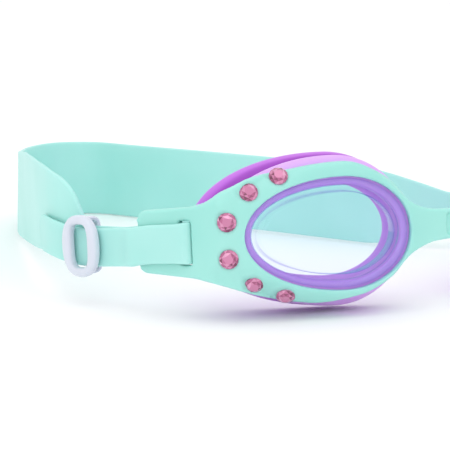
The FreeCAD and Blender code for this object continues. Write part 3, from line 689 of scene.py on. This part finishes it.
# Rounded corners at the two tail ends.
END_ROUND = 3.0
ease = np.sqrt(np.clip(1 - (1 - np.clip(from_end / END_ROUND, 0, 1)) ** 2, 0, 1))
inset = END_ROUND * (1 - ease)
low, high = low + inset, high - inset

# %% strap band
CORNER = 0.5
EDGE_STEPS = 5
FACE_STEPS = 12


def band_section(height):
    """Offsets across the band and up it, once round a rectangle with rounded corners."""
    half = THICK / 2
    section = []
    for across, up, start in ((1, 1, 0), (-1, 1, 90), (-1, -1, 180), (1, -1, 270)):
        for k in range(EDGE_STEPS):
            a = math.radians(start + 90 * k / (EDGE_STEPS - 1))
            section.append((across * (half - CORNER) + CORNER * math.cos(a),
                            up * (height / 2 - CORNER) + CORNER * math.sin(a)))
    dense = []
    for p, q in zip(section, section[1:] + section[:1]):
        steps = FACE_STEPS if abs(p[1] - q[1]) > 2 * CORNER else 1
        dense += [(p[0] + (q[0] - p[0]) * t / steps, p[1] + (q[1] - p[1]) * t / steps) for t in range(steps)]
    return np.array(dense)


tangent = np.gradient(line, axis=0)
tangent /= np.linalg.norm(tangent, axis=1)[:, None]
across = np.column_stack([tangent[:, 1], -tangent[:, 0]])
LEAN, LEAN_FOOT = 0.6 * math.tan(math.radians(6.0)), 5.0
lean = LEAN * smooth_step(plan_y, 95.0, 140.0) * smooth_step(along[apex] - along, 4.0, 30.0)
rings = []
for (x, y), (nx, ny), bottom, top, tip in zip(line, across, low, high, lean):
    section = band_section(max(top - bottom, 2 * CORNER + 0.2))
    middle = (top + bottom) / 2
    shift = section[:, 0] + (middle + section[:, 1] + LEAN_FOOT) * tip
    rings.append(np.column_stack([x + nx * shift, y + ny * shift, middle + section[:, 1]]))
strap = new_object("head_strap_band", to_world(np.vstack(rings)), tube_faces(len(rings), len(rings[0])),
                   strap_mint_painted_lighter)
outward(strap)
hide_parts("head_strap")
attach(strap, "goggles")
print("strap faces:", len(strap.data.polygons))

# %% [markdown]
# ## Stones
#
# One faceted stone, set six times round each temple by a small node group.

# %% one stone
STONE_RADIUS, STONE_HEIGHT, TABLE_RADIUS = 2.4, 1.4, 1.15


def stone_mesh(name):
    """A flat-backed round brilliant: table, star and main facets, and a short girdle."""
    work = bmesh.new()
    rings = []
    for radius, height, turn, count in ((TABLE_RADIUS, STONE_HEIGHT, 0.5, 8), (1.85, 0.98, 0.0, 8),
                                        (STONE_RADIUS, 0.5, 0.0, 16), (STONE_RADIUS, 0.0, 0.0, 16)):
        ring = []
        for k in range(count):
            a = 2 * math.pi * (k + turn) / count
            spot = (radius * math.cos(a) / 1000, radius * math.sin(a) / 1000, height / 1000)
            ring.append(work.verts.new(spot))
        rings.append(ring)
    table, middle, girdle, base = rings
    work.faces.new(table)
    for k in range(8):
        n = (k + 1) % 8
        work.faces.new((table[k - 1], table[k], middle[k]))
        work.faces.new((table[k], middle[n], middle[k]))
        work.faces.new((middle[k], girdle[2 * k], girdle[(2 * k + 1) % 16]))
        work.faces.new((middle[k], girdle[(2 * k + 1) % 16], middle[n]))
        work.faces.new((middle[n], girdle[(2 * k + 1) % 16], girdle[(2 * k + 2) % 16]))
    for k in range(16):
        n = (k + 1) % 16
        work.faces.new((girdle[k], girdle[n], base[n], base[k]))
    work.faces.new(base[::-1])
    bmesh.ops.recalc_face_normals(work, faces=work.faces)
    mesh = bpy.data.meshes.new(name)
    work.to_mesh(mesh)
    work.free()
    mesh.materials.append(pink)
    # Painted glints and shade: each facet gets a random brightness, and the table a middle one.
    shade = mesh.attributes.new("painted_light", "FLOAT", "FACE")
    random = np.random.default_rng(11)
    painted_light_values = np.clip(random.normal(0.5, 0.28, len(mesh.polygons)), 0, 1)
    painted_light_values[0] = 0.62
    shade.data.foreach_set("value", painted_light_values)
    return mesh


stone_source = bpy.data.objects.new("stone_source", stone_mesh("stone"))
print("facets:", len(stone_source.data.polygons))


# %% stones in place
STATIONS = ((16.7, 15.5), (24.9, 12.1), (31.1, 5.0), (31.0, -4.2), (24.2, -11.3), (16.0, -14.8))
BEND_START, BEND_RADIUS, SEAT, STONE_TILT = 24.0, 18.3, 0.45, 0.8


def stone_seat(along_front, height, side):
    """A stone's point and outward direction on the frame's front, in the drawing frame."""
    turned = max(along_front - BEND_START, 0) / BEND_RADIUS
    flat = min(along_front, BEND_START)
    level_x = -flat - BEND_RADIUS * math.sin(turned)
    c, s = math.cos(EYE["cant"]), math.sin(EYE["cant"])
    x, height = level_x * c - height * s, level_x * s + height * c
    y = -1.0 + BEND_RADIUS * (1 - math.cos(turned))
    out = np.array([-math.sin(turned), -math.cos(turned), 0.0])
    fall, step = float(dome_fall(np.array([x]), np.array([height]))[0]), 0.2
    slope = [(float(dome_fall(np.array([x + dx]), np.array([height + dz]))[0]) - fall) / step
             for dx, dz in ((step, 0), (0, step))]
    out += np.array([slope[0], 0.0, slope[1]]) * STONE_TILT
    out /= np.linalg.norm(out)
    seat = np.array([[x, y + fall, height]]) - out * SEAT
    place, tip = in_goggles(np.vstack([seat, seat + out]), side)
    return place, tip - place


def set_group(name):
    """Sets a stone at each point, turned by the point's own angles, in one material."""
    group = bpy.data.node_groups.new(name, "GeometryNodeTree")
    group.interface.new_socket("Geometry", in_out="INPUT", socket_type="NodeSocketGeometry")
    group.interface.new_socket("Stone", in_out="INPUT", socket_type="NodeSocketObject")
    group.interface.new_socket("Geometry", in_out="OUTPUT", socket_type="NodeSocketGeometry")
    given = group.nodes.new("NodeGroupInput")
    result = group.nodes.new("NodeGroupOutput")
    source = add_node(group, "GeometryNodeObjectInfo", {"Object": given.outputs["Stone"]})
    angles = add_node(group, "GeometryNodeInputNamedAttribute", data_type="FLOAT_VECTOR")
    angles.inputs["Name"].default_value = "angles"
    turn = add_node(group, "FunctionNodeEulerToRotation", {"Euler": angles.outputs["Attribute"]})
    placed = add_node(group, "GeometryNodeInstanceOnPoints",
                      {"Points": given.outputs["Geometry"], "Instance": source.outputs["Geometry"],
                       "Rotation": turn.outputs["Rotation"]})
    real = add_node(group, "GeometryNodeRealizeInstances", {"Geometry": placed.outputs["Instances"]})
    painted = add_node(group, "GeometryNodeSetMaterial", {"Geometry": real.outputs["Geometry"]})
    painted.inputs["Material"].default_value = pink
    group.links.new(painted.outputs["Geometry"], result.inputs["Geometry"])
    return group


stone_group = set_group("set stones")
LEAN_BACK, SPIN = Matrix.Rotation(-PITCH, 3, "X"), 0.7
for side, name in SIDES.items():
    seats = [stone_seat(s, z, side) for s, z in STATIONS]
    mesh = bpy.data.meshes.new(f"stones_{name}")
    mesh.from_pydata([tuple(v) for v in to_world([p for p, _ in seats])], [], [])
    angles = mesh.attributes.new("angles", "FLOAT_VECTOR", "POINT")
    for k, (_, out) in enumerate(seats):
        facing = (LEAN_BACK @ Vector(out)).to_track_quat("Z", "Y").to_matrix()
        angles.data[k].vector = (facing @ Matrix.Rotation(SPIN * k, 3, "Z")).to_euler()
    obj = bpy.data.objects.new(f"stones_{name}", mesh)
    bpy.context.collection.objects.link(obj)
    modifier = obj.modifiers.new("set stones", "NODES")
    modifier.node_group = stone_group
    stone_input = next(s for s in stone_group.interface.items_tree if s.name == "Stone")
    modifier[stone_input.identifier] = stone_source
    applied(obj)
    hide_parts(*[f"gem_{name}_{k}" for k in range(1, 7)])
    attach(obj, "goggles")
    print(obj.name, "faces:", len(obj.data.polygons))
bpy.data.objects.remove(stone_source)

# %% [markdown]
# ## Studio
#
# A plain pale floor, a large soft light above and a smaller one from the wearer's right.

# %% floor and light
def plain_floor():
    material, tree, output = start_material("floor")
    where, colour = mottled(tree, "#fbfbfc", "#fdfdfd", 400)
    shader = add_node(tree, "ShaderNodeBsdfPrincipled", {"Base Color": colour.outputs["Color"]})
    shader.inputs["Roughness"].default_value = 0.8
    tree.links.new(shader.outputs["BSDF"], output.inputs["Surface"])
    return material


floor = new_object("floor", [(-3, -3, -0.0002), (3, -3, -0.0002), (3, 3, -0.0002), (-3, 3, -0.0002)],
                   [(0, 1, 2, 3)], plain_floor(), smooth=False)
world = bpy.data.worlds.new("studio")
bpy.context.scene.world = world
world.use_nodes = True
world.node_tree.nodes["Background"].inputs["Color"].default_value = (1.0, 1.0, 1.0, 1.0)
world.node_tree.nodes["Background"].inputs["Strength"].default_value = 1.0


def soft_light(name, place, aim, size, power):
    lamp = bpy.data.lights.new(name, "AREA")
    lamp.shape = "RECTANGLE"
    lamp.size, lamp.size_y = size
    lamp.energy = power
    obj = bpy.data.objects.new(name, lamp)
    obj.location = place
    obj.rotation_euler = (Vector(aim) - Vector(place)).to_track_quat("-Z", "Y").to_euler()
    bpy.context.collection.objects.link(obj)
    return obj


soft_light("top light", (-0.1, -0.2, 0.9), (0, 0, 0), (0.9, 0.9), 1.6)
soft_light("front light", (-0.7, -0.7, 0.45), (0, -0.05, 0.02), (0.5, 0.5), 0.9)

# %% [markdown]
# ## Camera
#
# From the wearer's right front, a little above; it aims aside from the eyepiece to take in the strap.

# %% camera
AIM_ASIDE, AIM_UP = 0.046154, 0.002692
AZIMUTH, ELEVATION, DISTANCE = math.radians(33.0), math.radians(10.5), 0.650
back = Vector((-math.sin(AZIMUTH) * math.cos(ELEVATION), -math.cos(AZIMUTH) * math.cos(ELEVATION),
               math.sin(ELEVATION)))
eye = Vector(to_world([(-31.0, 4.0, 0.0)])[0])
right = back.cross(Vector((0, 0, 1))).normalized() * -1
up = right.cross(-back).normalized()
aim = -back - right * AIM_ASIDE + up * AIM_UP
camera = bpy.data.objects.new("camera", bpy.data.cameras.new("camera"))
camera.data.sensor_width = 36.0
camera.data.lens = 208.0
camera.data.clip_start, camera.data.clip_end = 0.05, 20.0
camera.location = eye + back * DISTANCE
camera.rotation_euler = aim.to_track_quat("-Z", "Y").to_euler()
bpy.context.collection.objects.link(camera)
bpy.context.scene.camera = camera
bpy.context.scene.view_settings.view_transform = "Standard"
